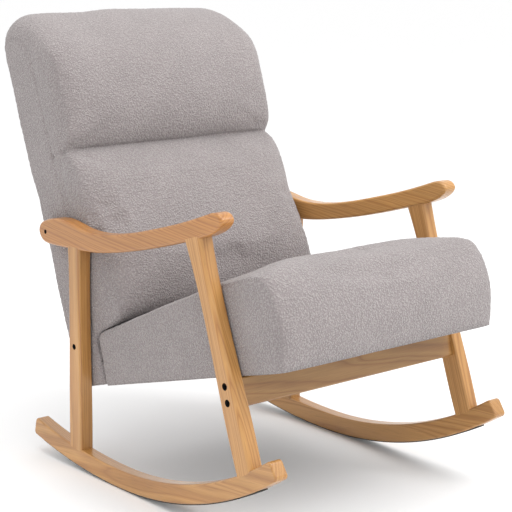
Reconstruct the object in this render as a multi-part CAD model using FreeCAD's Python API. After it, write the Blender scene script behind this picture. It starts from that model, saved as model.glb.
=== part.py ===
import FreeCAD, Part
import math
import os

from FreeCAD import Vector

# Upholstered rocking chair. X runs across the chair, Y runs from front to back and Z is up.
# The sitter faces -Y. While the parts are made, Y = 0 is the line where the rockers touch the floor
# at rest; all of them are moved together at the end, so that the origin is the bottom centre of the box.
# Left and right are the sitter's.

# Overall
CHAIR_WIDTH = 600.0
TIMBER = 30.0            # thickness of the runners and the legs across the chair
EDGE_ROUND = 4.0

# Rocker runners: one arc in front of the contact line and a flatter one behind it
FRONT_RADIUS = 875.0     # of the rolling surface
REAR_RADIUS = 1300.0
FRONT_SWEEP = 33.8       # degrees of arc in front of the contact line
REAR_SWEEP = 13.7
RUNNER_DEPTH = 38.0
RUNNER_TIP_ROUND = 8.0
STRIP_THICKNESS = 2.0
STRIP_WIDTH = 22.0
STRIP_SHORT_FRONT = 4.2  # degrees by which the strip stops short of the runner's tips
STRIP_SHORT_REAR = 1.4

# Legs
FRONT_LEG_SETBACK = 96.0 # from the seat's front back to where the leg's centreline meets the runner's top
FRONT_LEG_SLANT = 19.5   # degrees back from upright
REAR_FOOT_Y = 148.0
REAR_LEG_SLANT = -1.2
LEG_WIDTH = 42.0
LEG_WAIST = 37.0         # width where the leg is slimmest
WAIST_BELOW_ARM = 75.0
FLARE_BELOW_ARM = 18.0
FRONT_LEG_HEAD = 50.0    # flared width under the armrest
REAR_LEG_HEAD = 42.0
OUTER_EDGE_ROUND = 9.0   # the front legs' outer front edge is worked much rounder than the rest

# Armrests: the outline as (distance in front of the rear screw, height above it)
ARM_WIDTH = 32.0
ARM_TOP = [(-4, 23), (28, 31), (62, 33), (126, 23.5), (180, 21.5), (267, 33), (363, 56),
           (456, 82), (530, 107)]
ARM_NOSE = [(552, 113), (568, 110), (575, 101), (566, 86)]
ARM_UNDER = [(545, 73), (485, 53), (393, 27), (298, 4), (232, -9), (159, -19), (79, -22.5),
             (12, -24)]
ARM_TAIL = [(-15, -18), (-26, 0), (-20, 14)]
ARM_SCREW_UP = 326.0     # the screw's place on the back: up its rear face, and forward from it
ARM_SCREW_FORWARD = 55.0
ARM_EDGE_ROUND = 5.0

# Seat cushion, measured along its underside (forward) and square to it (up) from its rear lower corner
SEAT_REAR_Y = 84.0
SEAT_REAR_Z = 186.0
SEAT_TILT = 15.0
SEAT_LENGTH = 574.0
SEAT_REAR_THICKNESS = 104.0
SEAT_FRONT_THICKNESS = 173.0
SEAT_TUCK = 20.0         # how far the front's lower edge lies behind its middle
CUSHION_GAP = 2.5        # between the cushions' sides and the legs

# Back cushion, measured up its rear face and forward from it, from its rear lower corner
BACK_REAR_Y = 180.0
BACK_REAR_Z = 160.0
BACK_RAKE = 20.0
BACK_HEIGHT = 785.0
BACK_SIDE_DEPTH = 97.0   # the flat boxed side
LUMBAR_DEPTH = 200.0     # thickest part of the lower pad
HEADREST_HEIGHT = 320.0  # from the seam over the lower pad to the top
CREASE_DEPTH = 134.0
HEADREST_DEPTH = 162.0

FRONT_FOOT_Y = SEAT_REAR_Y - SEAT_LENGTH + FRONT_LEG_SETBACK
CREASE_UP = BACK_HEIGHT - HEADREST_HEIGHT
LUMBAR_STEP = CREASE_UP / 93   # the lower pad's outline is spaced in these

# Upholstery build-up
FABRIC = 3.0
FIT = 0.3                # air left beside every soft piece and every fastener
WADDING = 5.0
EDGE_PAD = 4.0           # soft padding between the inner frames' sides and the cover
FRAME_BELOW_TOP = 80.0   # the back's frame ends under the headrest's round top
BOARD = 18.0             # plywood of the inner frames
REAR_BOARD = 23.4        # the seat's rear board, thick enough for the inserts of the back's bolts
SEAT_FRAME_DEPTH = 54.0
BEARER_WIDTH = 97.0
BEARER_BELOW_SPRINGS = 6.0
UNDERSIDE_MARGIN = 30.0  # fabric turned in under the seat around the dust sheet
BACK_RAIL = 24.0
BACK_RAIL_WIDTH = 60.0
BOTTOM_RAIL_UP = 10.0    # over the frame's foot
LUMBAR_RAIL_SHARE = 0.7  # of the seam's height
PAD_BELOW_SEAT_TOP = 20.0
WEB_THICKNESS = 2.0
WEB_WIDTH = 50.0
WEB_COUNT = 6
LOWEST_WEB = 2.5         # web widths up to the lowest web's middle
SPRING_WIRE = 3.4
SPRING_COUNT = 5
SPRING_SPREAD = 88.0     # from one spring to the next
SPRING_LOOP_WIDTH = 44.0
SPRING_LOOP_PITCH = 24.0
SPRING_OFF_FRAME = 1.2   # wire held clear of the frame's top by its clips
SPRING_END = 10.8        # how far the wire reaches over the rear and front boards
CLIP_LIP = 3.0
DUST_SHEET = 0.8
SHEET_GAP = 0.1

# Front cross rail and its fasteners
RAIL_THICKNESS = 26.0
RAIL_DEPTH = 54.0
RAIL_BOLT_SPACING = 30.0
RAIL_BOLT = 8.0
RAIL_BOLT_HEAD = 13.0
RAIL_BOLT_RECESS = 14.0
RAIL_BOLT_REACH = 52.0   # into the rail's end
BARREL_NUT = 10.0
BARREL_NUT_LENGTH = 22.0
BARREL_NUT_INSET = 38.0
SEAT_SCREW = 5.0
SEAT_SCREW_OFFSET = 150.0
SEAT_SCREW_GRIP = 36.0   # rail left between the screw's head and the seat
SEAT_SCREW_BITE = 32.4   # thread in the bearer
SEAT_SCREW_HEAD = 4.0    # thickness

# Rear fasteners
REAR_BOLT = 6.0
REAR_BOLT_HEAD = 10.0
REAR_BOLT_RECESS = 12.0
REAR_BOLT_FORWARD = 69.0  # from the back's rear face
INSERT_LENGTH = 14.0
SPACER_DIAMETER = 20.0
ARM_SCREW = 5.0
ARM_SCREW_HEAD = 8.0
ARM_SCREW_RECESS = 9.0
ARM_SCREW_HEAD_HEIGHT = 3.0
BACK_BOLT_OFFSET = 150.0
BACK_BOLT_UP = 24.0
DOWEL = 8.0
DOWEL_DEPTH = 18.0       # into each of the two pieces it joins
DOWEL_OFFSET = 10.0      # to each side of the leg's centreline

HALF_WIDTH = CHAIR_WIDTH / 2
INNER_FACE = HALF_WIDTH - TIMBER
CUSHION_HALF_WIDTH = INNER_FACE - CUSHION_GAP
ARM_INNER_FACE = HALF_WIDTH - ARM_WIDTH
LINING = CUSHION_HALF_WIDTH - FABRIC - FIT    # half width over the foam
FRAME_FACE = LINING - EDGE_PAD                # half width over the inner frames
HOLE_EASE = 0.1                               # radial ease of a fastener in its hole
X_AXIS = Vector(1, 0, 0)
PAST = 1.0                                    # how far a cutter runs past the face it opens

parts = {}


def in_plane(y, z, x=0.0):
    return Vector(x, y, z)


def seat_direction():
    tilt = math.radians(SEAT_TILT)
    return in_plane(-math.cos(tilt), math.sin(tilt)), in_plane(math.sin(tilt), math.cos(tilt))


def back_direction():
    rake = math.radians(BACK_RAKE)
    return in_plane(math.sin(rake), math.cos(rake)), in_plane(-math.cos(rake), math.sin(rake))


SEAT_FORWARD, SEAT_UP = seat_direction()
BACK_UP, BACK_FORWARD = back_direction()


def on_seat(forward, up, x=0.0):
    return in_plane(SEAT_REAR_Y, SEAT_REAR_Z, x) + SEAT_FORWARD * forward + SEAT_UP * up


def on_back(up, forward, x=0.0):
    return in_plane(BACK_REAR_Y, BACK_REAR_Z, x) + BACK_UP * up + BACK_FORWARD * forward


def line(start, end):
    return Part.LineSegment(start, end).toShape()


def curve(points):
    spline = Part.BSplineCurve()
    spline.interpolate(points)
    return spline.toShape()


def across(wire, x_low, x_high):
    """Extrude a flat outline, drawn at x = 0, from one x to another."""
    face = Part.Face(wire)
    face.translate(Vector(x_low, 0, 0))
    return face.extrude(Vector(x_high - x_low, 0, 0))


def board(place, x_low, x_high, a_low, a_high, b_low, b_high):
    """A straight board whose end is a rectangle in the seat's or the back's own directions."""
    corners = [place(a_low, b_low), place(a_high, b_low), place(a_high, b_high), place(a_low, b_high)]
    return across(Part.makePolygon(corners + corners[:1]), x_low, x_high)


def skin(place, points, inset):
    """A smooth edge through points (a, b, facing) of a cushion's skin, each moved in by inset.

    facing is the direction in which the skin looks there: 0 along a, 90 along b."""
    moved = []
    for a, b, facing in points:
        angle = math.radians(facing)
        moved.append(place(a - inset * math.cos(angle), b - inset * math.sin(angle)))
    return moved


def closed(corners, *curves):
    """A closed outline: the smooth curves in turn, then straight lines through the corners and back."""
    edges = [curve(points) for points in curves]
    stops = [curves[-1][-1]] + corners + [curves[0][0]]
    edges += [line(start, end) for start, end in zip(stops, stops[1:])]
    return Part.Wire(Part.__sortEdges__(edges))


def rod(start, direction, diameter, length):
    return Part.makeCylinder(diameter / 2, length, start, direction)


def bore(start, direction, diameter, length):
    return rod(start, direction, diameter + 2 * HOLE_EASE, length)


def mirrored(shape):
    return shape.mirror(Vector(0, 0, 0), X_AXIS)


def both_sides(shape):
    return [shape, mirrored(shape)]


def add(name, *solids):
    """One node, of one solid or of a group of separate ones."""
    loose = [solid for shape in solids for solid in shape.Solids]
    parts[name] = loose[0] if len(loose) == 1 else Part.makeCompound(loose)


def add_pair(name, left):
    add(name + "_left", left)
    add(name + "_right", mirrored(left))


def rounded(shape, radius, chosen):
    edges = [edge for edge in shape.Edges if chosen(edge)]
    return shape.makeFillet(radius, edges)


# ---- Rocker runners and their strips ----

def on_arc(side, inset, degrees):
    """A point on the rolling curve, moved in by inset; side is -1 in front of the contact line."""
    radius = FRONT_RADIUS if side < 0 else REAR_RADIUS
    angle = math.radians(degrees)
    reach = radius - inset
    return in_plane(side * reach * math.sin(angle), radius - reach * math.cos(angle))


def curved_band(outer, inner, front_sweep, rear_sweep):
    """The outline between two insets of the rolling curve, cut square at both tips."""
    def arc(side, inset, sweep):
        ends = [on_arc(side, inset, part * sweep) for part in (0, 0.5, 1)]
        return Part.Arc(*ends).toShape()

    edges = [arc(-1, outer, front_sweep), arc(1, outer, rear_sweep),
             arc(-1, inner, front_sweep), arc(1, inner, rear_sweep),
             line(on_arc(-1, outer, front_sweep), on_arc(-1, inner, front_sweep)),
             line(on_arc(1, outer, rear_sweep), on_arc(1, inner, rear_sweep))]
    return Part.Wire(Part.__sortEdges__(edges))


def runner_top(y):
    radius = FRONT_RADIUS if y < 0 else REAR_RADIUS
    reach = radius - STRIP_THICKNESS - RUNNER_DEPTH
    return radius - math.sqrt(reach ** 2 - y ** 2)


def is_long_edge(edge):
    """True for an edge that lies in one side face of a flat timber."""
    return edge.BoundBox.XLength < 0.01


def is_tip_corner(edge):
    return edge.BoundBox.XLength > TIMBER - 1


def runner():
    outline = curved_band(STRIP_THICKNESS, STRIP_THICKNESS + RUNNER_DEPTH, FRONT_SWEEP, REAR_SWEEP)
    blank = across(outline, INNER_FACE, HALF_WIDTH)
    tips = [on_arc(-1, STRIP_THICKNESS, FRONT_SWEEP), on_arc(1, STRIP_THICKNESS, REAR_SWEEP),
            on_arc(-1, STRIP_THICKNESS + RUNNER_DEPTH, FRONT_SWEEP),
            on_arc(1, STRIP_THICKNESS + RUNNER_DEPTH, REAR_SWEEP)]

    def at_tip(edge):
        middle = edge.CenterOfMass
        return is_tip_corner(edge) and any(math.hypot(middle.y - t.y, middle.z - t.z) < 1 for t in tips)

    shaped = rounded(blank, RUNNER_TIP_ROUND, at_tip)
    return rounded(shaped, EDGE_ROUND, is_long_edge)


def anti_slip_strip():
    outline = curved_band(0, STRIP_THICKNESS, FRONT_SWEEP - STRIP_SHORT_FRONT, REAR_SWEEP - STRIP_SHORT_REAR)
    middle = (INNER_FACE + HALF_WIDTH) / 2
    return across(outline, middle - STRIP_WIDTH / 2, middle + STRIP_WIDTH / 2)


# ---- Armrests ----

def arm_screw_place(x=0.0):
    return on_back(ARM_SCREW_UP, ARM_SCREW_FORWARD, x)


def armrest():
    screw = arm_screw_place()
    stations = ARM_TOP + ARM_NOSE + ARM_UNDER + ARM_TAIL
    outline = [in_plane(screw.y - ahead, screw.z + rise) for ahead, rise in stations]
    spline = Part.BSplineCurve()
    spline.interpolate(outline, PeriodicFlag=True)
    blank = across(Part.Wire([spline.toShape()]), ARM_INNER_FACE, HALF_WIDTH)
    return rounded(blank, ARM_EDGE_ROUND, is_long_edge)


# ---- Legs ----

class LegLine:
    """The centreline of a leg, from the runner's top up to the armrest."""

    def __init__(self, foot_y, slant):
        angle = math.radians(slant)
        self.foot = in_plane(foot_y, runner_top(foot_y))
        self.up = in_plane(math.sin(angle), math.cos(angle))
        self.front = in_plane(-math.cos(angle), math.sin(angle))

    def at(self, height, forward=0.0, x=0.0):
        return self.foot + self.up * height + self.front * forward + Vector(x, 0, 0)

    def length_to(self, arm):
        """Distance up the centreline to the armrest's underside."""
        reach = CHAIR_WIDTH + BACK_HEIGHT
        middle = (INNER_FACE + HALF_WIDTH) / 2
        ray = line(self.at(0, x=middle), self.at(reach, x=middle)).common(arm)
        return (ray.BoundBox.ZMin - self.foot.z) / self.up.z


def leg(centre, arm, base, head_width, outer_front_round):
    """A leg with a slim waist and a flared head, scribed to the runner below and the armrest above."""
    height = centre.length_to(arm)
    head = height + head_width / 3
    waist = height - WAIST_BELOW_ARM
    sunk = -RUNNER_DEPTH / 2

    def edge_points(sign):
        return [centre.at(sunk, sign * LEG_WIDTH / 2), centre.at(waist * 0.55, sign * (LEG_WIDTH - 2) / 2),
                centre.at(waist, sign * LEG_WAIST / 2),
                centre.at(height - FLARE_BELOW_ARM, sign * (LEG_WAIST + head_width) / 4),
                centre.at(head, sign * head_width / 2)]

    front = edge_points(1)
    rear = edge_points(-1)
    edges = [curve(front), line(front[-1], rear[-1]), curve(rear), line(rear[0], front[0])]
    blank = across(Part.Wire(Part.__sortEdges__(edges)), INNER_FACE, HALF_WIDTH)

    def is_outer_front(edge):
        middle = edge.CenterOfMass
        ahead = (middle - centre.at(0)).dot(centre.front)
        return is_long_edge(edge) and middle.x > HALF_WIDTH - 1 and ahead > LEG_WAIST / 4

    def is_other_long(edge):
        lengthwise = edge.BoundBox.ZLength > height / 2
        return is_long_edge(edge) and lengthwise and not is_outer_front(edge)

    others = [edge for edge in blank.Edges if is_other_long(edge)]
    shaped = rounded(blank, outer_front_round, is_outer_front)
    kept = [other.CenterOfMass for other in others]
    others = [edge for edge in shaped.Edges if any(edge.CenterOfMass.isEqual(middle, 0.5) for middle in kept)]
    shaped = shaped.makeFillet(EDGE_ROUND, others)
    return shaped.cut(arm).cut(base)


def leg_dowels(centre, height):
    middle = (INNER_FACE + HALF_WIDTH) / 2
    start = height - DOWEL_DEPTH
    length = 2 * DOWEL_DEPTH
    return [rod(centre.at(start, side * DOWEL_OFFSET, middle), centre.up, DOWEL, length) for side in (-1, 1)]


def dowel_bores(centre, height):
    middle = (INNER_FACE + HALF_WIDTH) / 2
    start = height - DOWEL_DEPTH - PAST
    length = 2 * (DOWEL_DEPTH + PAST)
    return [bore(centre.at(start, side * DOWEL_OFFSET, middle), centre.up, DOWEL, length) for side in (-1, 1)]


# ---- Front cross rail, where the front legs' line meets the seat's underside ----

def rail_forward_on_seat(front_line):
    """How far forward along the seat the rail's middle lies, so that its bolts run up the leg's middle."""
    drop = RAIL_DEPTH / 2 + FIT
    start = on_seat(0, -drop)
    gap = front_line.foot - start
    turn = SEAT_FORWARD.y * front_line.up.z - SEAT_FORWARD.z * front_line.up.y
    return (gap.y * front_line.up.z - gap.z * front_line.up.y) / turn


def rail_bolt_places(forward):
    middle = -FIT - RAIL_DEPTH / 2
    return [(forward, middle + side * RAIL_BOLT_SPACING / 2) for side in (-1, 1)]


def front_cross_rail(forward):
    half = RAIL_THICKNESS / 2
    rail = board(on_seat, -INNER_FACE, INNER_FACE, forward - half, forward + half, -FIT - RAIL_DEPTH, -FIT)
    rail = rounded(rail, EDGE_ROUND, lambda edge: edge.BoundBox.XLength > INNER_FACE)
    for ahead, up in rail_bolt_places(forward):
        for side in (-1, 1):
            end = on_seat(ahead, up, side * (INNER_FACE + PAST))
            rail = rail.cut(bore(end, X_AXIS * -side, RAIL_BOLT, RAIL_BOLT_REACH + 2 * PAST))
            nut = on_seat(ahead - half - PAST, up, side * (INNER_FACE - BARREL_NUT_INSET))
            rail = rail.cut(bore(nut, SEAT_FORWARD, BARREL_NUT, BARREL_NUT_LENGTH + PAST + FIT))
    for x in seat_screw_stations():
        rail = rail.cut(bore(on_seat(forward, PAST - FIT, x), SEAT_UP * -1, SEAT_SCREW, RAIL_DEPTH))
        recess = on_seat(forward, -FIT - RAIL_DEPTH - PAST, x)
        rail = rail.cut(rod(recess, SEAT_UP, 2 * SEAT_SCREW + 2, RAIL_DEPTH - SEAT_SCREW_GRIP + PAST))
    return rail


def socket_bolt(head_seat, direction, thread, head, length):
    """A hexagon-socket cap bolt. Its head bears on head_seat, and direction runs down the thread."""
    head_height = thread
    top = head_seat - direction * head_height
    blank = rod(top, direction, head, head_height).fuse(rod(head_seat, direction, thread, length))
    key = thread * 0.75
    side = key / math.sqrt(3)
    corners = []
    for step in range(7):
        angle = math.radians(60 * step)
        corners.append(Vector(0, side * math.cos(angle), side * math.sin(angle)))
    socket = Part.Face(Part.makePolygon(corners))
    socket.Placement = FreeCAD.Placement(top - direction * PAST, FreeCAD.Rotation(X_AXIS, direction))
    return blank.cut(socket.extrude(direction * (PAST + head_height * 0.6))).removeSplitter()


def rail_bolt_and_nut(ahead, up):
    bearing = on_seat(ahead, up, HALF_WIDTH - RAIL_BOLT_RECESS)
    length = TIMBER - RAIL_BOLT_RECESS + RAIL_BOLT_REACH
    bolt = socket_bolt(bearing, X_AXIS * -1, RAIL_BOLT, RAIL_BOLT_HEAD, length)
    start = on_seat(ahead - RAIL_THICKNESS / 2, up, INNER_FACE - BARREL_NUT_INSET)
    nut = rod(start, SEAT_FORWARD, BARREL_NUT, BARREL_NUT_LENGTH)
    nut = nut.cut(bore(bearing, X_AXIS * -1, RAIL_BOLT, length))
    return bolt, nut


def with_rail_bolt_holes(front_leg, forward):
    for ahead, up in rail_bolt_places(forward):
        outside = on_seat(ahead, up, HALF_WIDTH + PAST)
        recess = rod(outside, X_AXIS * -1, RAIL_BOLT_HEAD + 1, RAIL_BOLT_RECESS + PAST)
        front_leg = front_leg.cut(recess)
        front_leg = front_leg.cut(bore(outside, X_AXIS * -1, RAIL_BOLT, TIMBER + 2 * PAST))
    return front_leg


# ---- Seat ----

def seat_outline(inset):
    """Side view: flat underside, top rising forwards, soft rounded front that tucks in below."""
    rise = SEAT_FRONT_THICKNESS - SEAT_REAR_THICKNESS
    full = SEAT_FRONT_THICKNESS
    top = [(70, SEAT_REAR_THICKNESS + rise * 0.17, 98),
           (SEAT_LENGTH * 0.44, SEAT_REAR_THICKNESS + rise * 0.62, 98),
           (SEAT_LENGTH * 0.7, full - 5, 95), (SEAT_LENGTH - 104, full, 90), (SEAT_LENGTH - 52, full - 1, 87),
           (SEAT_LENGTH - 22, full - 12, 50), (SEAT_LENGTH - 5, full * 0.72, 15),
           (SEAT_LENGTH, full * 0.48, 0),
           (SEAT_LENGTH - 6, full * 0.23, -12)]
    rear_top = on_seat(inset, SEAT_REAR_THICKNESS - inset)
    front_low = on_seat(SEAT_LENGTH - SEAT_TUCK - inset, inset)
    return closed([on_seat(inset, inset)], [rear_top] + skin(on_seat, top, inset) + [front_low])


def seat_body(inset, half_width):
    return across(seat_outline(inset), -half_width, half_width)


def seat_screw_stations():
    return [-SEAT_SCREW_OFFSET, 0.0, SEAT_SCREW_OFFSET]


SEAT_FRAME_LOW = FABRIC + DUST_SHEET + 2 * SHEET_GAP
SEAT_FRAME_TOP = SEAT_FRAME_LOW + SEAT_FRAME_DEPTH
SEAT_FRAME_REAR = FABRIC + FIT + 2
SEAT_FRAME_FRONT = SEAT_LENGTH - SEAT_TUCK - FABRIC - 6
SPRING_LEVEL = SEAT_FRAME_TOP + SPRING_WIRE / 2 + SPRING_OFF_FRAME
CLIP_HEIGHT = SPRING_WIRE + 3.0
FOAM_FLOOR = SEAT_FRAME_TOP + CLIP_HEIGHT + FIT


def spring(x_middle):
    """A flat zigzag of wire from rear board to front board: cross runs joined by half-round loops."""
    start = SEAT_FRAME_REAR + SPRING_END
    end = SEAT_FRAME_FRONT - SPRING_END
    runs = 2 * int((end - start) / (2 * SPRING_LOOP_PITCH)) + 1
    pitch = (end - start) / (runs - 1)
    reach = SPRING_LOOP_WIDTH / 2 - pitch / 2
    edges = []
    for run in range(runs):
        ahead = start + run * pitch
        side = 1 if run % 2 == 0 else -1
        first = on_seat(ahead, SPRING_LEVEL, x_middle - side * reach)
        last = on_seat(ahead, SPRING_LEVEL, x_middle + side * reach)
        edges.append(line(first, last))
        if run < runs - 1:
            peak = on_seat(ahead + pitch / 2, SPRING_LEVEL, x_middle + side * (reach + pitch / 2))
            beyond = on_seat(ahead + pitch, SPRING_LEVEL, x_middle + side * reach)
            edges.append(Part.Arc(last, peak, beyond).toShape())
    path = Part.Wire(edges)
    section = Part.Wire([Part.Circle(edges[0].Vertexes[0].Point, X_AXIS, SPRING_WIRE / 2).toShape()])
    return path.makePipeShell([section], True, True)


def spring_clips(x_middle):
    """A folded steel clip on the rear and the front board, open towards the spring."""
    clips = []
    ends = [(SEAT_FRAME_REAR + 1, SEAT_FRAME_REAR + BOARD, 1),
            (SEAT_FRAME_FRONT - BOARD, SEAT_FRAME_FRONT - 1, -1)]
    width = SPRING_LOOP_WIDTH / 4
    for low, high, opens in ends:
        block = board(on_seat, x_middle - width / 2, x_middle + width / 2, low, high,
                      SEAT_FRAME_TOP, SEAT_FRAME_TOP + CLIP_HEIGHT)
        slot_low, slot_high = (low + CLIP_LIP, high + PAST) if opens > 0 else (low - PAST, high - CLIP_LIP)
        slot = board(on_seat, x_middle - width, x_middle + width, slot_low, slot_high,
                     SEAT_FRAME_TOP + 0.9, SEAT_FRAME_TOP + CLIP_HEIGHT - 1)
        clips.append(block.cut(slot))
    return clips


def make_seat(rail_forward, back_bolt_bores):
    sides_inside = FRAME_FACE - BOARD
    low, top = SEAT_FRAME_LOW, SEAT_FRAME_TOP
    side_board = board(on_seat, sides_inside, FRAME_FACE, SEAT_FRAME_REAR, SEAT_FRAME_FRONT, low, top)
    add_pair("seat_side_board", side_board)
    front_board = board(on_seat, -sides_inside, sides_inside, SEAT_FRAME_FRONT - BOARD, SEAT_FRAME_FRONT,
                        low, top)
    add("seat_front_board", front_board)
    rear_board = board(on_seat, -sides_inside, sides_inside, SEAT_FRAME_REAR, SEAT_FRAME_REAR + REAR_BOARD,
                       low, top)
    for hole in back_bolt_bores:
        rear_board = rear_board.cut(hole)
    add("seat_rear_board", rear_board)
    bearer = board(on_seat, -sides_inside, sides_inside, rail_forward - BEARER_WIDTH / 2,
                   rail_forward + BEARER_WIDTH / 2, low, top - BEARER_BELOW_SPRINGS)
    screws = []
    sheet_holes = []
    for x in seat_screw_stations():
        head = on_seat(rail_forward, -FIT - SEAT_SCREW_GRIP, x)
        length = SEAT_SCREW_GRIP + FIT + low + SEAT_SCREW_BITE
        shank = rod(head, SEAT_UP, SEAT_SCREW, length)
        cap = rod(head - SEAT_UP * SEAT_SCREW_HEAD, SEAT_UP, 2 * SEAT_SCREW, SEAT_SCREW_HEAD)
        screws.append(cap.fuse(shank))
        sheet_holes.append(bore(head, SEAT_UP, SEAT_SCREW, length + PAST))
    for hole in sheet_holes:
        bearer = bearer.cut(hole)
    add("seat_bearer", bearer)
    add("seat_mounting_screws", *screws)

    stations = [(index - (SPRING_COUNT - 1) / 2) * SPRING_SPREAD for index in range(SPRING_COUNT)]
    add("seat_springs", *[spring(x) for x in stations])
    add("seat_spring_clips", *[clip for x in stations for clip in spring_clips(x)])

    cavity = seat_body(FABRIC, CUSHION_HALF_WIDTH - FABRIC)
    opening = CUSHION_HALF_WIDTH - UNDERSIDE_MARGIN
    underside = board(on_seat, -opening, opening, UNDERSIDE_MARGIN, SEAT_LENGTH - 2 * UNDERSIDE_MARGIN,
                      -PAST, FABRIC + PAST)
    cover = seat_body(0, CUSHION_HALF_WIDTH).cut(cavity).cut(underside)
    for hole in back_bolt_bores:
        cover = cover.cut(hole)
    add("seat_cover", cover)
    sheet_low = FABRIC + SHEET_GAP
    sheet = board(on_seat, -LINING, LINING, SEAT_FRAME_REAR, SEAT_FRAME_FRONT,
                  sheet_low, sheet_low + DUST_SHEET)
    for hole in sheet_holes:
        sheet = sheet.cut(hole)
    add("seat_dust_sheet", sheet)
    above = board(on_seat, -CHAIR_WIDTH, CHAIR_WIDTH, -CHAIR_WIDTH, CHAIR_WIDTH, FOAM_FLOOR, CHAIR_WIDTH)
    foam = seat_body(FABRIC + FIT, LINING).common(above)
    add("seat_foam", foam)


# ---- Back ----

def back_outline(inset):
    """Side view: flat rear, lower pad that deepens downwards, crease, headrest roll with a round top."""
    lumbar = [(12 * LUMBAR_STEP, LUMBAR_DEPTH - 14, 90), (24 * LUMBAR_STEP, LUMBAR_DEPTH - 1, 90),
              (38 * LUMBAR_STEP, LUMBAR_DEPTH, 90), (60 * LUMBAR_STEP, LUMBAR_DEPTH - 18, 90),
              (84 * LUMBAR_STEP, CREASE_DEPTH + 20, 90), (CREASE_UP, CREASE_DEPTH, 90)]
    head = [(CREASE_UP, CREASE_DEPTH, 90), (CREASE_UP + 28, HEADREST_DEPTH - 12, 90),
            (CREASE_UP + 112, HEADREST_DEPTH, 90), (BACK_HEIGHT - 140, HEADREST_DEPTH - 5, 85),
            (BACK_HEIGHT - 80, HEADREST_DEPTH - 28, 60), (BACK_HEIGHT - 22, HEADREST_DEPTH - 76, 35),
            (BACK_HEIGHT, HEADREST_DEPTH - 116, 0), (BACK_HEIGHT - 12, 11, -45), (BACK_HEIGHT - 42, 0, -90)]
    front = BACK_SIDE_DEPTH - inset
    foot = [on_back(inset, inset), on_back(inset, front), on_back(12 * LUMBAR_STEP, front)]
    return closed(foot, skin(on_back, lumbar, inset), skin(on_back, head, inset))


def back_body(inset, half_width):
    """The back's volume, less the room that the seat takes out of its lower front."""
    body = across(back_outline(inset), -half_width, half_width)
    return body.cut(seat_body(-FIT - 0.1 - inset, CHAIR_WIDTH))


BACK_FRAME_REAR = FABRIC + FIT + WADDING + FIT
BACK_FRAME_FRONT = BACK_SIDE_DEPTH - FABRIC - EDGE_PAD
BACK_FRAME_FOOT = FABRIC + FIT + 2
BACK_FRAME_TOP = BACK_HEIGHT - FRAME_BELOW_TOP
PAD_FLOOR = BACK_FRAME_FRONT + WEB_THICKNESS + 2 * FIT


def back_webs(x_half):
    lowest = LOWEST_WEB * WEB_WIDTH
    highest = BACK_FRAME_TOP - BACK_RAIL_WIDTH - WEB_WIDTH
    straps = []
    for index in range(WEB_COUNT):
        middle = lowest + (highest - lowest) * index / (WEB_COUNT - 1)
        straps.append(board(on_back, -x_half, x_half, middle - WEB_WIDTH / 2, middle + WEB_WIDTH / 2,
                            BACK_FRAME_FRONT, BACK_FRAME_FRONT + WEB_THICKNESS))
    return straps


def make_back(cutters, back_bolt_bores):
    inside = FRAME_FACE - BOARD
    side_board = board(on_back, inside, FRAME_FACE, BACK_FRAME_FOOT, BACK_FRAME_TOP,
                       BACK_FRAME_REAR, BACK_FRAME_FRONT)
    for cutter in cutters:
        side_board = side_board.cut(cutter)
    add_pair("back_side_board", side_board)

    rails = {"bottom": BACK_FRAME_FOOT + BOTTOM_RAIL_UP, "lumbar": CREASE_UP * LUMBAR_RAIL_SHARE,
             "top": BACK_FRAME_TOP - BACK_RAIL_WIDTH}
    for name, low in rails.items():
        rail = board(on_back, -inside, inside, low, low + BACK_RAIL_WIDTH, BACK_FRAME_FRONT - BACK_RAIL,
                     BACK_FRAME_FRONT)
        for hole in back_bolt_bores:
            rail = rail.cut(hole)
        add("back_" + name + "_rail", rail)
    add("back_webbing", *back_webs(FRAME_FACE))

    cavity = back_body(FABRIC, CUSHION_HALF_WIDTH - FABRIC)
    cover = back_body(0, CUSHION_HALF_WIDTH).cut(cavity)
    for cutter in cutters + [mirrored(cutter) for cutter in cutters] + back_bolt_bores:
        cover = cover.cut(cutter)
    add("back_cover", cover)

    lining = back_body(FABRIC + FIT, LINING)
    far = 2 * BACK_HEIGHT
    rear_slab = board(on_back, -far, far, FABRIC, BACK_FRAME_TOP, 0, FABRIC + FIT + WADDING)
    add("back_wadding", lining.common(rear_slab))
    pad_low = SEAT_REAR_THICKNESS - PAD_BELOW_SEAT_TOP
    lower_slab = board(on_back, -far, far, pad_low, CREASE_UP - FIT, PAD_FLOOR, far)
    add("lumbar_foam", lining.common(lower_slab))
    upper_slab = board(on_back, -far, far, CREASE_UP + FIT, BACK_FRAME_TOP, PAD_FLOOR, far)
    cap_slab = board(on_back, -far, far, BACK_FRAME_TOP + FIT, far, 0, far)
    bridge = board(on_back, -far, far, BACK_FRAME_TOP - PAST, BACK_FRAME_TOP + FIT + PAST, PAD_FLOOR, far)
    add("headrest_foam", lining.common(upper_slab.fuse(cap_slab).fuse(bridge)))


# ---- Joints between the back and the side frames ----

def rear_bolt_place(rear_line, x):
    """Where the rear leg's centreline crosses the bolt line of the back's side board."""
    start = on_back(0, REAR_BOLT_FORWARD)
    gap = rear_line.foot - start
    turn = BACK_UP.y * rear_line.up.z - BACK_UP.z * rear_line.up.y
    up = (gap.y * rear_line.up.z - gap.z * rear_line.up.y) / turn
    return on_back(up, REAR_BOLT_FORWARD, x)


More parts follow.
